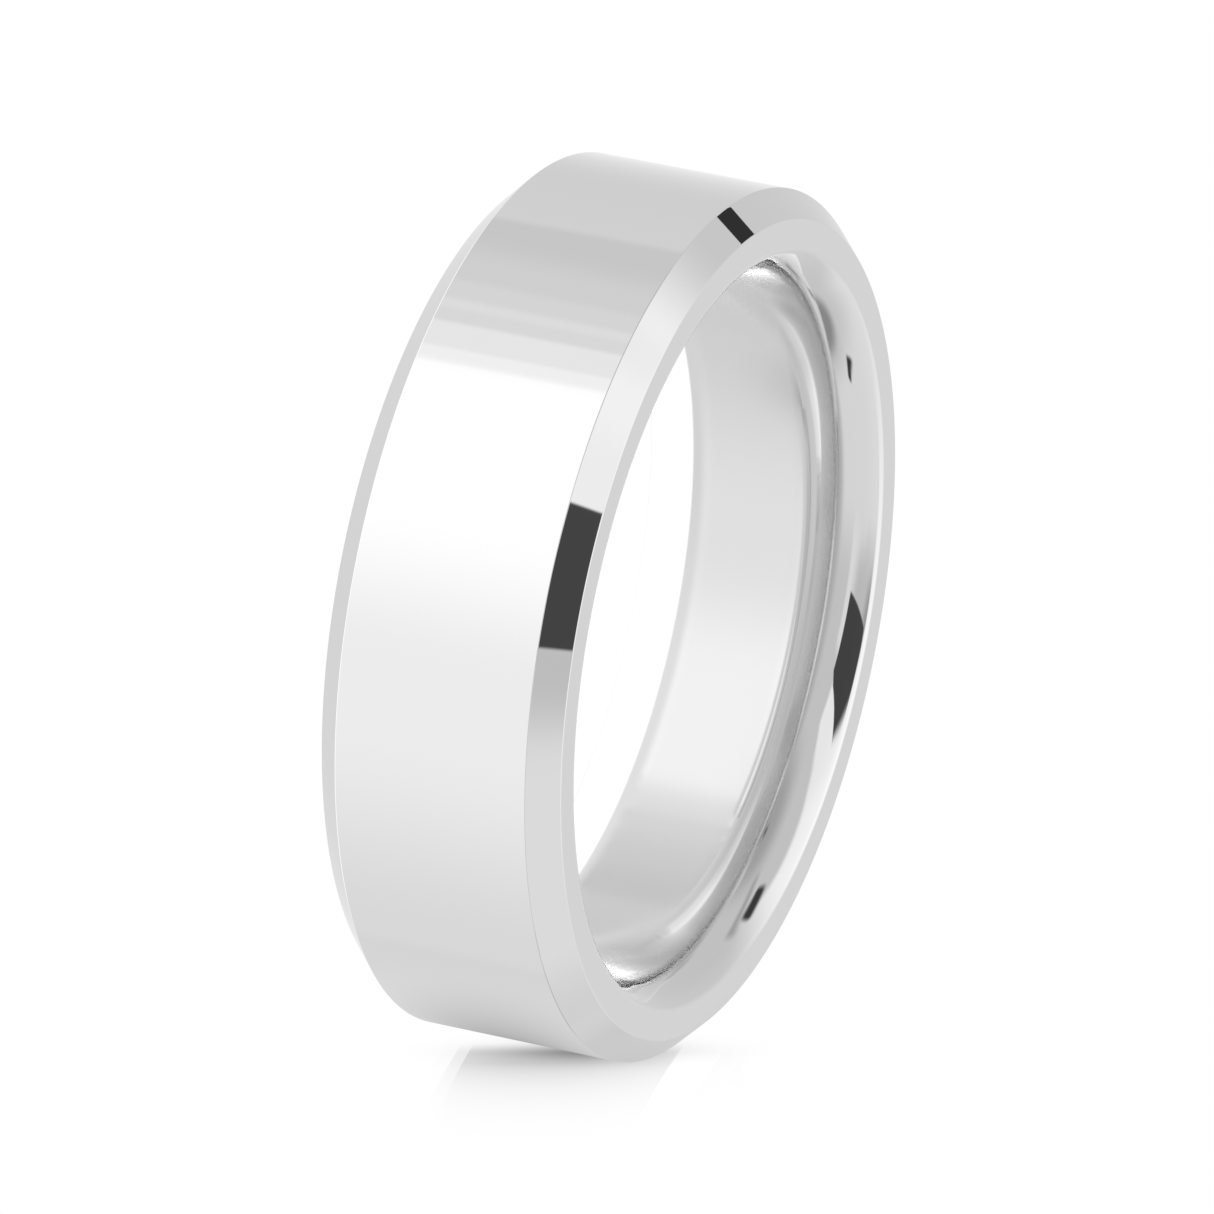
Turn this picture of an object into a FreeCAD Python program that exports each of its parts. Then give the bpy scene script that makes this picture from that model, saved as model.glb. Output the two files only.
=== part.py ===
import FreeCAD, Part
import math
import os
import Sketcher

# A plain wedding band, one turned and polished ring.
#
# The outside is a flat barrel between two 45 degree bevels.  Each end is a narrow flat side face.
# The bore is flat over its middle third.  It then domes gently outwards, curves hard into the mouth
# and rolls over a rounded lip into the side face (a comfort fit), the same at both ends.
#
# Frame: the finger axis is Y, +Z is up and the origin is the middle of the ring.
# Sizes are in millimetres.

DIMENSIONS = {
    "outer_radius": 10.35,     # flat barrel
    "band_width": 6.0,         # along the finger, over both side faces
    "bevel_size": 0.62,        # both legs of the 45 degree bevel
    "bore_radius": 8.25,       # flat middle of the bore
    "flat_length": 2.1,        # flat middle of the bore, along the finger
    "dome_length": 4.0,        # between the outer ends of the two dome curves
    "comfort_length": 5.14,    # between the outer ends of the two comfort curves
    "flare_length": 5.84,      # between the outer ends of the two flares
    "dome_radius": 7.8,        # gentle curve next to the flat
    "comfort_radius": 1.15,    # hard curve into the mouth
    "flare_radius": 2.64,      # nearly straight flare between the comfort curve and the lip
    "rim_radius": 0.06,        # edge break from the bevel to the side face
    "shoulder_radius": 0.03,   # edge break from the barrel to the bevel
}

SHEET = "dimensions"
BAND = "band"

# Numbers that the sketcher gives a curve's two ends, the sketch's origin and its vertical axis
START = 1
END = 2
ORIGIN = -1
VERTICAL_AXIS = -2

# How near a circular edge has to be to the stated radius to be taken as that edge
EDGE_TOLERANCE = 1e-4


def add_dimension_sheet(doc):
    """Put every driving dimension in a named cell."""
    sheet = doc.addObject("Spreadsheet::Sheet", SHEET)
    for row, (name, size) in enumerate(DIMENSIONS.items(), start=1):
        sheet.set(f"A{row}", name)
        sheet.set(f"B{row}", str(size))
        sheet.setAlias(f"B{row}", name)
    doc.recompute()


def origin_plane(body, role):
    """One of the body's own origin planes."""
    return next(plane for plane in body.Origin.OriginFeatures if plane.Role == role)


def bore_curves(size):
    """Centre, radius and end slopes of each right-hand bore curve, from the flat to the side face.

    The slope of a curve is its angle from the finger direction.  Every curve starts at the slope
    where the last one ends, and the lip takes what is left up to the side face.
    """
    stations = [size["flat_length"], size["dome_length"], size["comfort_length"],
                size["flare_length"], size["band_width"]]
    radii = [size["dome_radius"], size["comfort_radius"], size["flare_radius"]]
    along = stations[0] / 2
    height = size["bore_radius"]
    slope = 0.0
    curves = []
    for index, station in enumerate(stations[1:]):
        run = station / 2 - along
        if index < len(radii):
            radius = radii[index]
            end_slope = math.asin(math.sin(slope) + run / radius)
        else:
            end_slope = math.pi / 2
            radius = run / (1 - math.sin(slope))
        centre = FreeCAD.Vector(along - radius * math.sin(slope), height + radius * math.cos(slope), 0)
        curves.append((centre, radius, slope, end_slope))
        along = station / 2
        height = centre.y - radius * math.cos(end_slope)
        slope = end_slope
    return curves


def curve_arc(centre, radius, slope, end_slope):
    """The anticlockwise arc under a centre, between two slopes."""
    circle = Part.Circle(centre, FreeCAD.Vector(0, 0, 1), radius)
    return Part.ArcOfCircle(circle, slope - math.pi / 2, end_slope - math.pi / 2)


def mirrored_arc(centre, radius, slope, end_slope):
    """The same arc on the other side of the ring's middle, also anticlockwise."""
    return curve_arc(FreeCAD.Vector(-centre.x, centre.y, 0), radius, -end_slope, -slope)


def draw_ring_section(body):
    """The closed section of the ring: sketch X runs along the finger, sketch Y is the radius."""
    section = body.newObject("Sketcher::SketchObject", "ring_section")
    section.AttachmentSupport = [(origin_plane(body, "YZ_Plane"), "")]
    section.MapMode = "FlatFace"

    size = DIMENSIONS
    half_width = size["band_width"] / 2
    half_barrel = half_width - size["bevel_size"]
    half_flat = size["flat_length"] / 2
    rim_height = size["outer_radius"] - size["bevel_size"]
    curves = bore_curves(size)
    lip_centre = curves[-1][0]

    def corner(along, height):
        return FreeCAD.Vector(along, height, 0)

    def add_line(start, end):
        return section.addGeometry(Part.LineSegment(start, end), False)

    left_shoulder = corner(-half_barrel, size["outer_radius"])
    right_shoulder = corner(half_barrel, size["outer_radius"])
    right_rim = corner(half_width, rim_height)
    right_mouth = corner(half_width, lip_centre.y)
    right_throat = corner(half_flat, size["bore_radius"])
    left_throat = corner(-half_flat, size["bore_radius"])
    left_mouth = corner(-half_width, lip_centre.y)
    left_rim = corner(-half_width, rim_height)

    barrel = add_line(left_shoulder, right_shoulder)
    right_bevel = add_line(right_shoulder, right_rim)
    right_face = add_line(right_rim, right_mouth)
    bore = add_line(right_throat, left_throat)
    left_face = add_line(left_mouth, left_rim)
    left_bevel = add_line(left_rim, left_shoulder)
    right_curves = [section.addGeometry(curve_arc(*curve), False) for curve in curves]
    left_curves = [section.addGeometry(mirrored_arc(*curve), False) for curve in curves]
    right_dome, right_comfort, right_flare, right_lip = right_curves
    left_dome, left_comfort, left_flare, left_lip = left_curves

    smooth_joins = [
        (bore, START, right_dome, START),
        (right_dome, END, right_comfort, START),
        (right_comfort, END, right_flare, START),
        (right_flare, END, right_lip, START),
        (right_lip, END, right_face, END),
    ]
    for join in smooth_joins:
        section.addConstraint(Sketcher.Constraint("Tangent", *join))

    plain_joins = [
        (barrel, END, right_bevel, START),
        (right_bevel, END, right_face, START),
        (bore, END, left_dome, END),
        (left_dome, START, left_comfort, END),
        (left_comfort, START, left_flare, END),
        (left_flare, START, left_lip, END),
        (left_lip, START, left_face, START),
        (left_face, END, left_bevel, START),
        (left_bevel, END, barrel, START),
    ]
    for join in plain_joins:
        section.addConstraint(Sketcher.Constraint("Coincident", *join))

    section.addConstraint(Sketcher.Constraint("Vertical", right_face))
    mirrored_pairs = [
        (barrel, START, barrel, END),
        (bore, START, bore, END),
        (right_dome, END, left_dome, START),
        (right_comfort, END, left_comfort, START),
        (right_flare, END, left_flare, START),
        (right_face, START, left_face, END),
        (right_face, END, left_face, START),
    ]
    for pair in mirrored_pairs:
        section.addConstraint(Sketcher.Constraint("Symmetric", *pair, VERTICAL_AXIS))
    for right_curve, left_curve in zip(right_curves, left_curves):
        section.addConstraint(Sketcher.Constraint("Equal", right_curve, left_curve))

    def measure(name, kind, *where_and_size, cell=None):
        index = section.addConstraint(Sketcher.Constraint(kind, *where_and_size))
        section.renameConstraint(index, name)
        section.setExpression(f"Constraints.{name}", f"{SHEET}.{cell or name}")

    measure("outer_radius", "DistanceY", ORIGIN, START, barrel, START, size["outer_radius"])
    measure("bore_radius", "DistanceY", ORIGIN, START, bore, START, size["bore_radius"])
    measure("band_width", "DistanceX", left_face, START, right_face, END, size["band_width"])
    measure("flat_length", "DistanceX", bore, END, bore, START, size["flat_length"])
    measure("bevel_run", "DistanceX", right_bevel, START, right_bevel, END,
            size["bevel_size"], cell="bevel_size")
    measure("bevel_drop", "DistanceY", right_bevel, END, right_bevel, START,
            size["bevel_size"], cell="bevel_size")
    for name, left_curve, right_curve in [("dome", left_dome, right_dome),
                                          ("comfort", left_comfort, right_comfort),
                                          ("flare", left_flare, right_flare)]:
        measure(f"{name}_length", "DistanceX", left_curve, START, right_curve, END,
                size[f"{name}_length"])
        measure(f"{name}_radius", "Radius", right_curve, size[f"{name}_radius"])
    return section


def circular_edges(shape, radius, distance):
    """Names of a shape's circles about Y of one radius, at one distance either side of the middle."""
    names = []
    for number, edge in enumerate(shape.Edges, start=1):
        curve = edge.Curve
        if not isinstance(curve, Part.Circle):
            continue
        right_radius = abs(curve.Radius - radius) < EDGE_TOLERANCE
        right_place = abs(abs(curve.Center.y) - distance) < EDGE_TOLERANCE
        if right_radius and right_place:
            names.append(f"Edge{number}")
    return names


def round_edges(body, base, label, rounding_cell, edge_radius, distance):
    """Round the matching pair of circular edges, one at each end of the ring."""
    edges = circular_edges(base.Shape, edge_radius, distance)
    if len(edges) != 2:
        raise RuntimeError(f"{label}: expected two edges, found {len(edges)}")
    rounding = body.newObject("PartDesign::Fillet", label)
    rounding.Base = (base, edges)
    rounding.setExpression("Radius", f"{SHEET}.{rounding_cell}")
    body.Document.recompute()
    return rounding


def build_band(doc):
    """The whole ring: one revolved section with its edges rounded."""
    body = doc.addObject("PartDesign::Body", BAND)
    body.Label = BAND
    section = draw_ring_section(body)
    doc.recompute()

    ring = body.newObject("PartDesign::Revolution", "turned_ring")
    ring.Profile = section
    ring.ReferenceAxis = (section, ["H_Axis"])
    ring.Angle = 360
    doc.recompute()

    size = DIMENSIONS
    half_width = size["band_width"] / 2
    rim_height = size["outer_radius"] - size["bevel_size"]
    half_barrel = half_width - size["bevel_size"]
    rims = round_edges(body, ring, "rims", "rim_radius", rim_height, half_width)
    round_edges(body, rims, "shoulders", "shoulder_radius", size["outer_radius"], half_barrel)
    return body


def check_document(doc, bodies):
    """Stop if any object failed or any piece has no sound solid."""
    for item in doc.Objects:
        if "Invalid" in item.State or "Error" in item.State:
            raise RuntimeError(f"{item.Label} failed: {item.State}")
    for body in bodies:
        shape = body.Shape
        if shape.isNull() or not shape.isValid() or len(shape.Solids) != 1:
            raise RuntimeError(f"{body.Label} has no sound solid")


def main():
    doc = FreeCAD.newDocument("wedding_band")
    add_dimension_sheet(doc)
    band = build_band(doc)
    check_document(doc, [band])

    os.makedirs("parts", exist_ok=True)
    band.Shape.exportStep(os.path.join("parts", f"{band.Label}.step"))
    print(f"{band.Label}: {band.Shape.Volume:.2f} cubic mm")


main()
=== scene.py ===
import math
import bpy
from mathutils import Matrix, Vector


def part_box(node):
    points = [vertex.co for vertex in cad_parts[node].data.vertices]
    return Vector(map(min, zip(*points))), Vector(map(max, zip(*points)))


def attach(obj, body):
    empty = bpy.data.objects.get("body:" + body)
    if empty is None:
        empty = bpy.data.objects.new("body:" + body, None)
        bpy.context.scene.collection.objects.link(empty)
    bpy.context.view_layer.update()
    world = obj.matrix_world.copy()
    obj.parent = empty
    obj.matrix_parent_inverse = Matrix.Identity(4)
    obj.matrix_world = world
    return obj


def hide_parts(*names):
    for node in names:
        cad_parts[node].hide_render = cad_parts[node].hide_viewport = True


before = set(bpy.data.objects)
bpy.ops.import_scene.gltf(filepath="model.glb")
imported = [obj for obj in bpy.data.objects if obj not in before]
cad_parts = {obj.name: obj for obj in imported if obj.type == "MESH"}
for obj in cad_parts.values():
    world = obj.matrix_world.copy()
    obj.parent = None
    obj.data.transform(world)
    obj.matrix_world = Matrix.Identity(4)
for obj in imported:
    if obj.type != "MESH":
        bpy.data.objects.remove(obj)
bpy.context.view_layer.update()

LOW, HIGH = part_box("band")
MM = 0.001

# ---------------------------------------------------------------- sizes of the ring's section, in metres
CENTRE = (Vector(LOW) + Vector(HIGH)) / 2
OUTER_RADIUS = (HIGH[2] - LOW[2]) / 2
HALF_WIDTH = (HIGH[1] - LOW[1]) / 2
BEVEL = 0.62 * MM
RIM_RADIUS = 0.06 * MM
SHOULDER_RADIUS = 0.03 * MM
BORE_RADIUS = 8.25 * MM
HALF_FLAT = 1.05 * MM
# Outer end along the finger, and radius, of the dome, the comfort curve and the flare
BORE_CURVES = ((2.0 * MM, 7.8 * MM), (2.57 * MM, 1.15 * MM), (2.92 * MM, 2.64 * MM))

# How finely the mesh follows the section
SEGMENTS = 480
SHOULDER_STEPS = 3
RIM_STEPS = 4
BORE_STEPS = (14, 6, 16, 8)    # lip, flare, comfort curve, dome
SAME_POINT = 1e-9


# ---------------------------------------------------------------- the ring's mesh
def arc_points(centre, radius, start, end, count):
    """Points and normals of a section arc whose normal turns from start to end, in radians."""
    points = []
    for step in range(count + 1):
        angle = start + (end - start) * step / count
        normal = (math.cos(angle), math.sin(angle))
        points.append((centre[0] + radius * normal[0], centre[1] + radius * normal[1], *normal))
    return points


def bore_curves():
    """Centre, radius and end slopes of each curve from the bore's flat to the side face."""
    along = HALF_FLAT
    height = BORE_RADIUS
    slope = 0.0
    curves = []
    for end, radius in BORE_CURVES:
        end_slope = math.asin(math.sin(slope) + (end - along) / radius)
        centre = (along - radius * math.sin(slope), height + radius * math.cos(slope))
        curves.append((centre, radius, slope, end_slope))
        along = end
        height = centre[1] - radius * math.cos(end_slope)
        slope = end_slope
    lip_radius = (HALF_WIDTH - along) / (1 - math.sin(slope))
    lip_centre = (HALF_WIDTH - lip_radius, height + lip_radius * math.cos(slope))
    curves.append((lip_centre, lip_radius, slope, math.pi / 2))
    return curves


def half_section():
    """Right half of the section, from the barrel's middle to the bore's middle.

    Each point is its place along the finger, its height and the two parts of its normal.
    """
    rim_height = OUTER_RADIUS - BEVEL
    half_barrel = HALF_WIDTH - BEVEL
    cut = math.tan(math.pi / 8)
    shoulder_centre = (half_barrel - SHOULDER_RADIUS * cut, OUTER_RADIUS - SHOULDER_RADIUS)
    rim_centre = (HALF_WIDTH - RIM_RADIUS, rim_height - RIM_RADIUS * cut)
    points = [(0.0, OUTER_RADIUS, 0.0, 1.0), (half_barrel / 2, OUTER_RADIUS, 0.0, 1.0)]
    points += arc_points(shoulder_centre, SHOULDER_RADIUS, math.pi / 2, math.pi / 4, SHOULDER_STEPS)
    points += arc_points(rim_centre, RIM_RADIUS, math.pi / 4, 0.0, RIM_STEPS)
    for (centre, radius, start, end), count in zip(reversed(bore_curves()), BORE_STEPS):
        points += arc_points(centre, radius, end - math.pi / 2, start - math.pi / 2, count)
    points.append((0.0, BORE_RADIUS, 0.0, -1.0))
    return points


def without_repeats(points):
    """The points, less any that sits on the one before it."""
    kept = []
    for point in points:
        if not kept or math.dist(point[:2], kept[-1][:2]) > SAME_POINT:
            kept.append(point)
    return kept


def make_band():
    """The ring: its section turned about the finger axis, with exact normals."""
    right = without_repeats(half_section())
    left = [(-along, height, -nx, ny) for along, height, nx, ny in reversed(right[1:-1])]
    section = right + left
    vertices = []
    normals = []
    for step in range(SEGMENTS):
        angle = 2 * math.pi * step / SEGMENTS
        s, c = math.sin(angle), math.cos(angle)
        for along, height, normal_along, normal_out in section:
            vertices.append(CENTRE + Vector((height * s, along, height * c)))
            normals.append(Vector((normal_out * s, normal_along, normal_out * c)))
    count = len(section)
    faces = []
    for step in range(SEGMENTS):
        here = step * count
        there = (step + 1) % SEGMENTS * count
        for k in range(count):
            n = (k + 1) % count
            faces.append((here + k, there + k, there + n, here + n))
    mesh = bpy.data.meshes.new("polished_band")
    mesh.from_pydata(vertices, [], faces)
    mesh.validate()
    mesh.shade_smooth()
    mesh.normals_split_custom_set_from_vertices(normals)
    band = bpy.data.objects.new("polished_band", mesh)
    bpy.context.scene.collection.objects.link(band)
    return band


# ---------------------------------------------------------------- node helpers
class Nodes:
    """Short ways to add nodes to one tree."""

    def __init__(self, tree):
        self.tree = tree

    def add(self, kind, **settings):
        node = self.tree.nodes.new(kind)
        for name, value in settings.items():
            setattr(node, name, value)
        return node

    def link(self, source, socket):
        self.tree.links.new(source, socket)

    def math(self, operation, *values):
        node = self.add("ShaderNodeMath", operation=operation)
        for socket, value in zip(node.inputs, values):
            if isinstance(value, (int, float)):
                socket.default_value = value
            else:
                self.link(value, socket)
        return node.outputs[0]

    def dot(self, source, vector):
        node = self.add("ShaderNodeVectorMath", operation="DOT_PRODUCT")
        self.link(source, node.inputs[0])
        node.inputs[1].default_value = vector
        return node.outputs["Value"]

    def step(self, value, low, high, start=0.0, end=1.0):
        """Smooth change from start to end as value goes from low to high."""
        node = self.add("ShaderNodeMapRange", interpolation_type="SMOOTHSTEP")
        self.link(value, node.inputs["Value"])
        node.inputs["From Min"].default_value = low
        node.inputs["From Max"].default_value = high
        node.inputs["To Min"].default_value = start
        node.inputs["To Max"].default_value = end
        return node.outputs["Result"]

    def blend(self, start, end, weight):
        """The start where the weight is 0, and the end where it is 1."""
        return self.math("MULTIPLY_ADD", self.math("SUBTRACT", end, start), weight, start)

    def length(self, x, y):
        """Length of a vector from its two parts."""
        squares = self.math("ADD", self.math("MULTIPLY", x, x), self.math("MULTIPLY", y, y))
        return self.math("SQRT", squares)

    def object_place(self):
        """The place on the object, as its X, Y and Z."""
        place = self.add("ShaderNodeTexCoord").outputs["Object"]
        parts = self.add("ShaderNodeSeparateXYZ")
        self.link(place, parts.inputs[0])
        return parts.outputs


# ---------------------------------------------------------------- metal
OUTSIDE_TONE = 0.70
# Base colour inside the bore: painted shade, a little darker than outside
BORE_PAINTED_SHADE_TONE = 0.655
OUTSIDE_ROUGHNESS = 0.02
FLAT_ROUGHNESS = 0.17
CURVE_ROUGHNESS = 0.03
COMFORT_ROUGHNESS = 0.08    # on top of the bore's own


def polished_metal():
    """Mirror polish, with painted shade making the bore's base colour a little darker than outside, and
    softest on its flat.
    """
    material = bpy.data.materials.new("polished_metal")
    material.use_nodes = True
    nodes = Nodes(material.node_tree)
    shader = material.node_tree.nodes["Principled BSDF"]
    place = nodes.object_place()
    from_axis = nodes.length(place["X"], place["Z"])
    along = nodes.math("ABSOLUTE", place["Y"])

    def past_bore(low, high, start, end):
        return nodes.step(from_axis, BORE_RADIUS + low * MM, BORE_RADIUS + high * MM, start, end)

    # Painted shade: the base colour darkens from the outside towards the bore
    nodes.link(past_bore(0.35, 0.7, BORE_PAINTED_SHADE_TONE, OUTSIDE_TONE), shader.inputs["Base Color"])

    bore = nodes.step(along, HALF_FLAT, HALF_FLAT + 0.35 * MM, FLAT_ROUGHNESS, CURVE_ROUGHNESS)
    comfort = nodes.math("MULTIPLY", past_bore(0.04, 0.09, 0.0, COMFORT_ROUGHNESS),
                         past_bore(0.18, 0.28, 1.0, 0.0))
    soft = nodes.math("ADD", nodes.math("SUBTRACT", bore, OUTSIDE_ROUGHNESS), comfort)
    inside = past_bore(0.3, 0.6, 1.0, 0.0)
    roughness = nodes.math("MULTIPLY_ADD", soft, inside, OUTSIDE_ROUGHNESS)
    nodes.link(roughness, shader.inputs["Roughness"])
    shader.inputs["Metallic"].default_value = 1.0
    return material


# ---------------------------------------------------------------- camera
CAMERA_AZIMUTH = -66.07
CAMERA_ELEVATION = 26.82
CAMERA_DISTANCE = 36.71 * OUTER_RADIUS
CAMERA_OFFSET = 0.0149 * OUTER_RADIUS    # how far left of the ring's middle the camera aims
LENS = 483.3
SENSOR_WIDTH = 36.0
CLIP_START = 0.01
CLIP_END = 10.0


def camera_axes():
    """The camera's right, up and back directions, and the level direction from the ring to its side."""
    azimuth = math.radians(CAMERA_AZIMUTH)
    elevation = math.radians(CAMERA_ELEVATION)
    right = Vector((math.cos(azimuth), math.sin(azimuth), 0.0))
    heading = Vector((math.sin(azimuth), -math.cos(azimuth), 0.0))
    back = heading * math.cos(elevation) + Vector((0, 0, math.sin(elevation)))
    return right, back.cross(right), back, heading


RIGHT, UP, BACK, HEADING = camera_axes()


def make_camera():
    """The photograph's viewpoint."""
    data = bpy.data.cameras.new("camera")
    data.lens = LENS
    data.sensor_width = SENSOR_WIDTH
    data.clip_start = CLIP_START
    data.clip_end = CLIP_END
    camera = bpy.data.objects.new("camera", data)
    aim = CENTRE - RIGHT * CAMERA_OFFSET
    turn = Matrix((RIGHT, UP, BACK)).transposed()
    camera.matrix_world = Matrix.Translation(aim + BACK * CAMERA_DISTANCE) @ turn.to_4x4()
    bpy.context.scene.collection.objects.link(camera)
    bpy.context.scene.camera = camera


# ---------------------------------------------------------------- studio light
def direction(azimuth, elevation):
    """Unit vector from an azimuth and elevation in degrees, as Sky takes them."""
    a = math.radians(azimuth)
    e = math.radians(elevation)
    level = HEADING * math.cos(a) + RIGHT * math.sin(a)
    return level * math.cos(e) + Vector((0, 0, math.sin(e)))


class Sky:
    """The studio as light from every direction, by azimuth and elevation in degrees.

    Azimuth 0 points from the ring to the photograph's side, and it grows towards the picture's right.
    Both are fixed in the room, so the light stays where it is in every other view.
    """

    def __init__(self, tree, base):
        self.nodes = Nodes(tree)
        self.direction = self.nodes.add("ShaderNodeTexCoord").outputs["Generated"]
        across = self.nodes.dot(self.direction, RIGHT)
        towards = self.nodes.dot(self.direction, HEADING)
        self.azimuth = self.nodes.math("DEGREES", self.nodes.math("ARCTAN2", across, towards))
        height = self.nodes.dot(self.direction, (0, 0, 1))
        self.elevation = self.nodes.math("DEGREES", self.nodes.math("ARCSINE", height))
        # Cosine of the angle from straight behind the ring, along the finger axis, and that angle
        self.towards_back = self.nodes.dot(self.direction, (0, 1, 0))
        self.behind = self.nodes.math("DEGREES", self.nodes.math("ARCCOSINE", self.towards_back))
        self.light = self.nodes.math("ADD", base, 0.0)

    def mix(self, weight, radiance):
        self.light = self.nodes.blend(self.light, radiance, weight)

    def window(self, value, low, high, soft_low, soft_high):
        rise = self.nodes.step(value, low - soft_low, low + soft_low)
        fall = self.nodes.step(value, high - soft_high, high + soft_high, 1.0, 0.0)
        return self.nodes.math("MULTIPLY", rise, fall)

    def panel(self, radiance, azimuths, elevations, soft):
        """A rectangle of light; soft is the half width of each soft edge: left, right, bottom, top."""
        across = self.window(self.azimuth, *azimuths, soft[0], soft[1])
        upright = self.window(self.elevation, *elevations, soft[2], soft[3])
        self.mix(self.nodes.math("MULTIPLY", across, upright), radiance)

    def back_azimuth(self):
        """The azimuth with its jump moved from 180 to 90 degrees, so that the back is whole."""
        wrap = self.nodes.math("GREATER_THAN", self.azimuth, 90.0)
        return self.nodes.math("MULTIPLY_ADD", wrap, -360.0, self.azimuth)

    def facing(self, turn):
        """Squared cosine of half the angle about the finger axis, from the photograph's side plus a turn."""
        side = Matrix.Rotation(math.radians(turn), 3, "Y") @ Vector((BACK.x, 0, BACK.z)).normalized()
        square = self.nodes.math("MULTIPLY", self.towards_back, self.towards_back)
        rest = self.nodes.math("MAXIMUM", self.nodes.math("SUBTRACT", 1.0, square), 1e-6)
        across = self.nodes.math("SQRT", rest)
        cosine = self.nodes.math("DIVIDE", self.nodes.dot(self.direction, side), across)
        half = self.nodes.math("MULTIPLY_ADD", cosine, 0.5, 0.5)
        return self.nodes.math("MAXIMUM", half, 0.0)

    def beyond(self, edge, soft):
        """Weight of the part of the room that is further back than an edge."""
        return self.nodes.step(self.nodes.math("SUBTRACT", self.towards_back, edge), -soft, soft)

    def cap_weight(self, centre, radius, soft):
        """Weight of the round area about one direction."""
        cosine = self.nodes.dot(self.direction, centre)
        outside = math.cos(math.radians(radius + soft))
        inside = math.cos(math.radians(max(radius - soft, 0)))
        return self.nodes.step(cosine, outside, inside)

    def slot(self, radiance, first, second, half_width, soft):
        """A narrow slot of light between two directions."""
        start = direction(*first)
        end = direction(*second)
        pole = start.cross(end).normalized()
        sine = self.nodes.math("ABSOLUTE", self.nodes.dot(self.direction, pole))
        inside = math.sin(math.radians(max(half_width - soft, 0)))
        outside = math.sin(math.radians(half_width + soft))
        on_line = self.nodes.step(sine, inside, outside, 1.0, 0.0)
        half_length = math.degrees(start.angle(end)) / 2
        near_middle = self.cap_weight((start + end).normalized(), half_length, soft)
        self.mix(self.nodes.math("MULTIPLY", on_line, near_middle), radiance)


ROOM_LEVEL = 0.80

# How far back the lit wall and the white backdrop start, as cosines from the finger axis
WALL_EDGE = 0.345
WALL_EDGE_RISE = -0.081
WALL_EDGE_POWER = 1.3
WALL_EDGE_TURN = 10
WALL_EDGE_SOFT = 0.008
BACKDROP_EDGE = 0.362
BACKDROP_EDGE_RISE = 0.1235
BACKDROP_EDGE_LEAST = 0.16
BACKDROP_EDGE_SOFT = 0.005

BACKDROP_LEVEL = 1.6
BACKDROP_LOW_LEVEL = 0.82
BACKDROP_SEEN = 1.1    # what the camera itself sees

# Steps of the wall's glow: back azimuth and rise, each over this half width
GLOW_STEPS = ((-144.5, 0.08), (-138.5, -0.045), (-129, 0.15), (-110, 0.11), (-99, 0.15))
GLOW_STEP_SOFT = 2.2

# Ray Depth reads 2 at the first bounce, 3 at the second and so on, so the limits lie between
FIRST_BOUNCE_LIMIT = 2.5
SECOND_BOUNCE_LIMIT = 3.5
DEEP_LEVEL = 0.42
DEEP_GAIN = 1.46    # for each bounce
DEEP_BOUNCES = 7.0


def light_front_room(sky):
    """Room in front of the ring."""
    sky.panel(0.52, (-25, 180), (62, 95), (8, 1, 14, 1))       # dimmer ceiling
    sky.panel(1.00, (-15, 125), (-64, -9), (12, 14, 8, 14))    # lighter low down
    sky.panel(0.36, (-40, 180), (-95, -74), (10, 1, 1, 5))     # dim straight below
    sky.panel(0.60, (-40, -10), (-95, 90), (8, 8, 1, 1))       # dimmer left of the photograph's side
    sky.panel(0.89, (118, 150), (-40, -14), (8, 10, 8, 8))     # less low down at the far right


def light_wall(sky):
    """Wall behind the ring: a stepped glow at the back that rises into the key light on the left."""
    nodes = sky.nodes
    back = sky.back_azimuth()
    glow = nodes.math("ADD", nodes.step(back, -172, -162, 0.80, 0.885),
                      nodes.step(back, -157, -152, 0.0, 0.055))
    for azimuth, rise in GLOW_STEPS:
        step = nodes.step(back, azimuth - GLOW_STEP_SOFT, azimuth + GLOW_STEP_SOFT, 0.0, rise)
        glow = nodes.math("ADD", glow, step)
    low_back = nodes.step(sky.elevation, 38.5, 41.5, 1.0, 0.0)
    low_back_level = nodes.math("ADD", nodes.step(sky.elevation, 8, 40, 0.83, 0.89),
                                nodes.step(sky.elevation, -20, 12, 0.10, 0.0))
    glow = nodes.blend(glow, low_back_level, low_back)

    key = nodes.math("ADD", nodes.step(sky.elevation, -72, -10, 0.96, 1.20),
                     nodes.step(sky.elevation, 4, 40, 0.0, 0.23))
    level = nodes.blend(glow, key, nodes.step(back, -104, -92))
    beside = nodes.step(sky.behind, 63.5, 67.5, 1.0, 0.0)
    level = nodes.blend(level, nodes.step(sky.elevation, -30, 50, 0.98, 1.13), beside)

    rise = nodes.math("POWER", sky.facing(WALL_EDGE_TURN), WALL_EDGE_POWER)
    edge = nodes.math("MULTIPLY_ADD", rise, WALL_EDGE_RISE, WALL_EDGE)
    sky.mix(sky.beyond(edge, WALL_EDGE_SOFT), level)


def light_right(sky):
    """Softbox at the right, with the black card and the dark slots in front of it."""
    sky.panel(1.26, (62, 110), (-32, 35.5), (5, 16, 18, 2))           # softbox
    sky.panel(1.38, (84, 108), (-18, 6), (14, 10, 12, 14))            # its bright middle
    sky.panel(1.20, (37, 70), (20, 35.5), (3, 6, 2, 2))               # its upper left
    sky.panel(1.03, (21, 40), (-16, 19), (2, 2, 6, 3))                # its dimmer left edge
    sky.panel(0.72, (33, 62), (-10, 3), (5, 6, 8, 3))                 # shade below the black card
    sky.panel(0.42, (49, 62), (-7, 3), (4, 6, 4, 3))                  # the shade's darker end
    sky.panel(0.078, (31, 60), (1.75, 22.9), (0.6, 3, 0.4, 0.25))     # black card

    sky.slot(0.52, (104, 56), (123, 31), 2.5, 2.5)        # soft grey band in the bore's mouth
    sky.slot(0.06, (101, 41), (114, 34), 2.8, 1.5)        # small dark mark in the upper mouth
    sky.slot(0.06, (36, -55.5), (52, -60.0), 2.3, 1.3)    # small dark mark in the lower mouth


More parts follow.
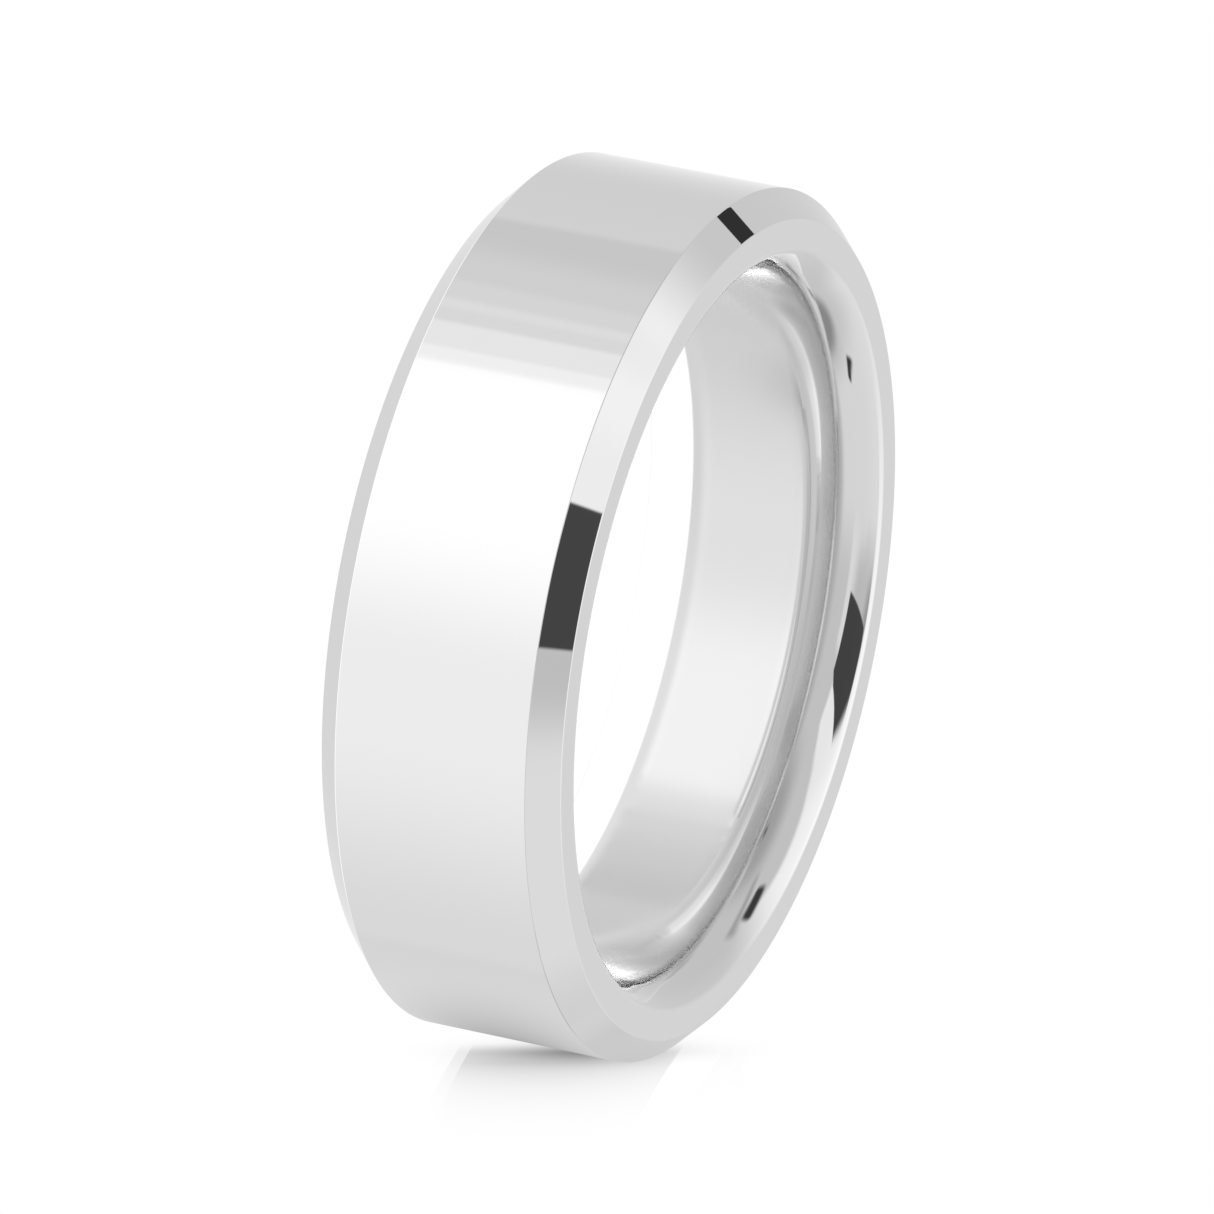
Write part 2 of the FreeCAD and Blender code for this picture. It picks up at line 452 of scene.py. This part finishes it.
def light_backdrop(sky, depth):
    """White backdrop behind the ring, for the first bounce only."""
    nodes = sky.nodes
    facing = sky.facing(0)
    rise = nodes.math("SQRT", nodes.math("MAXIMUM", facing, BACKDROP_EDGE_LEAST))
    edge = nodes.math("MULTIPLY_ADD", rise, BACKDROP_EDGE_RISE, BACKDROP_EDGE)
    backdrop = sky.beyond(edge, BACKDROP_EDGE_SOFT)
    first = nodes.math("LESS_THAN", depth, FIRST_BOUNCE_LIMIT)
    bright = nodes.step(facing, 0.02, 0.36, BACKDROP_LOW_LEVEL, BACKDROP_LEVEL)
    middle = nodes.step(sky.behind, 43, 47, 1.0, 0.0)
    bright = nodes.blend(bright, BACKDROP_LEVEL, middle)
    sky.mix(nodes.math("MULTIPLY", backdrop, first), bright)


def light_later_bounces(sky, depth):
    """Light after two bounces is lifted, and after more it is evened out."""
    nodes = sky.nodes
    second = nodes.math("MULTIPLY", nodes.math("GREATER_THAN", depth, FIRST_BOUNCE_LIMIT),
                        nodes.math("LESS_THAN", depth, SECOND_BOUNCE_LIMIT))
    lift = nodes.math("MULTIPLY", sky.light, nodes.step(sky.behind, 68, 74, 1.18, 1.4))
    sky.mix(second, lift)
    bounces = nodes.math("MINIMUM", nodes.math("SUBTRACT", depth, 1.0), DEEP_BOUNCES)
    even = nodes.math("MULTIPLY", nodes.math("POWER", DEEP_GAIN, bounces), DEEP_LEVEL)
    sky.mix(nodes.math("GREATER_THAN", depth, SECOND_BOUNCE_LIMIT), even)


def make_world():
    """The studio's light, laid down in order: each part covers what lies under it."""
    world = bpy.data.worlds.new("studio")
    world.use_nodes = True
    tree = world.node_tree
    sky = Sky(tree, ROOM_LEVEL)
    light_front_room(sky)
    light_wall(sky)
    light_right(sky)
    light_path = sky.nodes.add("ShaderNodeLightPath")
    depth = light_path.outputs["Ray Depth"]
    light_backdrop(sky, depth)
    light_later_bounces(sky, depth)
    sky.mix(light_path.outputs["Is Camera Ray"], BACKDROP_SEEN)
    sky.nodes.link(sky.light, tree.nodes["Background"].inputs["Color"])
    bpy.context.scene.world = world


# ---------------------------------------------------------------- cards and floor
SQUARE = ((-1, -1), (1, -1), (1, 1), (-1, 1))
SQUARE_FACES = [(0, 1, 2, 3)]


def level_square(half_size, z):
    """Corners of a level square."""
    return [(half_size * x, half_size * y, z) for x, y in SQUARE]


def emission_material(name):
    """A material that only gives light, with its node helper, its light and its output."""
    material = bpy.data.materials.new(name)
    material.use_nodes = True
    tree = material.node_tree
    tree.nodes.clear()
    nodes = Nodes(tree)
    light = nodes.add("ShaderNodeEmission")
    output = nodes.add("ShaderNodeOutputMaterial")
    nodes.link(light.outputs[0], output.inputs["Surface"])
    return material, nodes, light, output


def reflected_card(name, vertices, faces, level):
    """A grey stage piece that only reflections see, with the parts of its material."""
    mesh = bpy.data.meshes.new(name)
    mesh.from_pydata(vertices, [], faces)
    card = bpy.data.objects.new(name, mesh)
    bpy.context.scene.collection.objects.link(card)
    for kind in ("camera", "diffuse", "transmission", "volume_scatter", "shadow"):
        setattr(card, f"visible_{kind}", False)
    material, nodes, light, output = emission_material(name)
    light.inputs["Color"].default_value = (level, level, level, 1)
    mesh.materials.append(material)
    return nodes, light, output


SHADE_LEVEL = 0.22
SHADE_DROP = 0.02 * MM          # below the floor
SHADE_HALF_SIZE = 12 * MM
SHADE_REACH_X = 8.8 * MM
SHADE_REACH_Y = 5.0 * MM
SHADE_SHIFT_Y = 1.0 * MM

STRIP_LEVEL = 0.04
# Middle of the strip and its two half sides, in outside radii
STRIP_CENTRE = Vector((0.4356, -0.4227, 1.0519))
STRIP_LENGTHWISE = Vector((-0.02, -0.63, -0.776))
STRIP_HALF_LENGTH = 0.0795
STRIP_CROSSWISE = Vector((0.887, 0.18, -0.42))
STRIP_HALF_BREADTH = 0.052

FLAG_LEVEL = 0.90
FLAG_BEHIND = 0.8 * MM          # behind the rear side face
FLAG_RADII = (0.86 * OUTER_RADIUS, 1.0 * OUTER_RADIUS)
FLAG_START = 185                # degrees about the finger axis
FLAG_SWEEP = 200
FLAG_STEPS = 64


def make_contact_shade():
    """The floor's own shade where the ring touches it, as the metal reflects it."""
    corners = level_square(SHADE_HALF_SIZE, LOW[2] - SHADE_DROP)
    nodes, light, output = reflected_card("contact_shade", corners, SQUARE_FACES, SHADE_LEVEL)
    place = nodes.object_place()
    across = nodes.math("DIVIDE", place["X"], SHADE_REACH_X)
    along = nodes.math("DIVIDE", nodes.math("SUBTRACT", place["Y"], SHADE_SHIFT_Y), SHADE_REACH_Y)
    reach = nodes.length(across, along)
    clear = nodes.add("ShaderNodeBsdfTransparent")
    mix = nodes.add("ShaderNodeMixShader")
    nodes.link(nodes.step(reach, 0.0, 1.0, 1.0, 0.0), mix.inputs[0])
    nodes.link(clear.outputs[0], mix.inputs[1])
    nodes.link(light.outputs[0], mix.inputs[2])
    nodes.link(mix.outputs[0], output.inputs["Surface"])


def make_rear_flag():
    """A grey arc close behind the ring, which keeps the backdrop's glare off the rear bevel."""
    y = HIGH[1] + FLAG_BEHIND
    vertices = []
    for step in range(FLAG_STEPS + 1):
        angle = math.radians(FLAG_START + FLAG_SWEEP * step / FLAG_STEPS)
        for radius in FLAG_RADII:
            vertices.append((radius * math.sin(angle), y, radius * math.cos(angle)))
    faces = [(2 * k, 2 * k + 1, 2 * k + 3, 2 * k + 2) for k in range(FLAG_STEPS)]
    reflected_card("rear_flag", vertices, faces, FLAG_LEVEL)


def make_top_strip():
    """A small black strip near the front bevel's top, which shows as the bar across the bevel."""
    centre = STRIP_CENTRE * OUTER_RADIUS
    half_length = STRIP_LENGTHWISE * STRIP_HALF_LENGTH * OUTER_RADIUS
    half_breadth = STRIP_CROSSWISE * STRIP_HALF_BREADTH * OUTER_RADIUS
    corners = [centre + half_length * a + half_breadth * b for a, b in SQUARE]
    reflected_card("top_strip", corners, SQUARE_FACES, STRIP_LEVEL)


FLOOR_HALF_SIZE = 3.0
FLOOR_LEVEL = 1.005
FLOOR_ROUGHNESS = 0.03

# Shadow streak: places from the ring's middle, towards the photograph's side and to its right
SHADOW_AHEAD = 2.56 * MM
SHADOW_HALF_DEPTH = 0.44 * MM
SHADOW_ASIDE = -0.6 * MM
SHADOW_HALF_LENGTH = 1.4 * MM
SHADOW_END_POWER = 1.5
SHADOW_STRENGTH = 0.42

# Mirror image: it halves over each fade length, and lets through less of the floor's own light
MIRROR_AHEAD = 1.0 * MM         # past the shadow
MIRROR_FADE = 0.78 * MM
MIRROR_LEVEL = 0.45
MIRROR_MOST = 0.6
BEHIND_LEVEL = 0.92


def make_floor():
    """White floor, with a thin shadow where the ring stands and a mirror image that soon fades."""
    mesh = bpy.data.meshes.new("floor")
    mesh.from_pydata(level_square(FLOOR_HALF_SIZE, LOW[2]), [], SQUARE_FACES)
    floor = bpy.data.objects.new("floor", mesh)
    bpy.context.scene.collection.objects.link(floor)
    material, nodes, light, output = emission_material("floor")
    place = nodes.add("ShaderNodeTexCoord").outputs["Object"]
    across = nodes.dot(place, RIGHT)
    near = nodes.dot(place, HEADING)

    ahead = nodes.math("DIVIDE", nodes.math("SUBTRACT", near, SHADOW_AHEAD), SHADOW_HALF_DEPTH)
    aside = nodes.math("DIVIDE", nodes.math("SUBTRACT", across, SHADOW_ASIDE), SHADOW_HALF_LENGTH)
    spread = nodes.math("POWER", nodes.math("ABSOLUTE", aside), SHADOW_END_POWER)
    shadow = nodes.math("POWER", 0.5, nodes.math("ADD", nodes.math("MULTIPLY", ahead, ahead), spread))

    past = nodes.math("SUBTRACT", near, SHADOW_AHEAD + MIRROR_AHEAD)
    halved = nodes.math("POWER", 0.5, nodes.math("DIVIDE", past, MIRROR_FADE))
    mirror = nodes.math("MINIMUM", nodes.math("MULTIPLY", halved, MIRROR_LEVEL), MIRROR_MOST)
    sides = nodes.math("MULTIPLY", nodes.step(across, -5.0 * MM, -3.5 * MM),
                       nodes.step(across, 1.0 * MM, 3.6 * MM, 1.0, 0.0))
    front = nodes.step(near, SHADOW_AHEAD - 0.4 * MM, SHADOW_AHEAD + 0.2 * MM)
    mirror = nodes.math("MULTIPLY", mirror, nodes.math("MULTIPLY", sides, front))

    own_light = nodes.math("MULTIPLY_ADD", mirror, -BEHIND_LEVEL, FLOOR_LEVEL)
    own_light = nodes.math("MULTIPLY_ADD", shadow, -SHADOW_STRENGTH, own_light)
    nodes.link(nodes.math("MAXIMUM", own_light, 0.0), light.inputs["Strength"])
    gloss = nodes.add("ShaderNodeBsdfGlossy")
    gloss.inputs["Roughness"].default_value = FLOOR_ROUGHNESS
    nodes.link(mirror, gloss.inputs["Color"])
    both = nodes.add("ShaderNodeAddShader")
    nodes.link(light.outputs[0], both.inputs[0])
    nodes.link(gloss.outputs[0], both.inputs[1])
    nodes.link(both.outputs[0], output.inputs["Surface"])
    mesh.materials.append(material)
    floor.visible_glossy = False


# ---------------------------------------------------------------- build
LIGHT_BOUNCES = 24    # the bore reflects itself many times

band = make_band()
band.data.materials.append(polished_metal())
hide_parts("band")
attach(band, "root")

make_camera()
make_world()
make_floor()
make_contact_shade()
make_rear_flag()
make_top_strip()
scene = bpy.context.scene
scene.view_settings.view_transform = "Standard"
scene.cycles.max_bounces = LIGHT_BOUNCES
scene.cycles.glossy_bounces = LIGHT_BOUNCES
